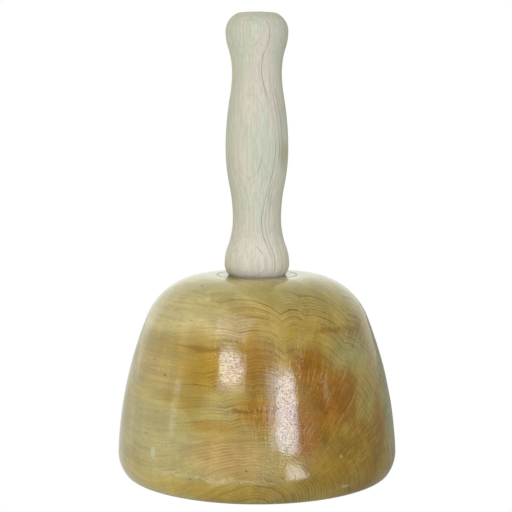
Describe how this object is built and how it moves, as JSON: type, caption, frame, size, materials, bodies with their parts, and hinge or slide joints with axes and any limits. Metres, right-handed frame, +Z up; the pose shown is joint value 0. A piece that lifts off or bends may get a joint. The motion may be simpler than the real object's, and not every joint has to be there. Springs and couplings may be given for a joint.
{
  "type": "wooden mallet",
  "caption": "Round wooden mallet: a turned bell-shaped head on a turned, knobbed handle whose through tenon is spread by a wedge.",
  "frame": {"origin": "centre of the head's flat base", "axes": "+Z up along the handle, from the head's base towards the knob; X along the head's fibres, Y along the wedge"},
  "size_m": [0.15, 0.15, 0.2445],
  "materials": {
    "head_wood": "gloss varnish over golden-brown hardwood, fibres along X, end grain on the +X and -X sides",
    "handle_wood": "matt, pale cream hardwood, fibres along Z",
    "wedge_wood": "end grain of a darker hardwood, pared flush with the base"
  },
  "bodies": {
    "root": {"head": "head_wood", "handle": "handle_wood", "wedge": "wedge_wood"}
  },
  "joints": []
}
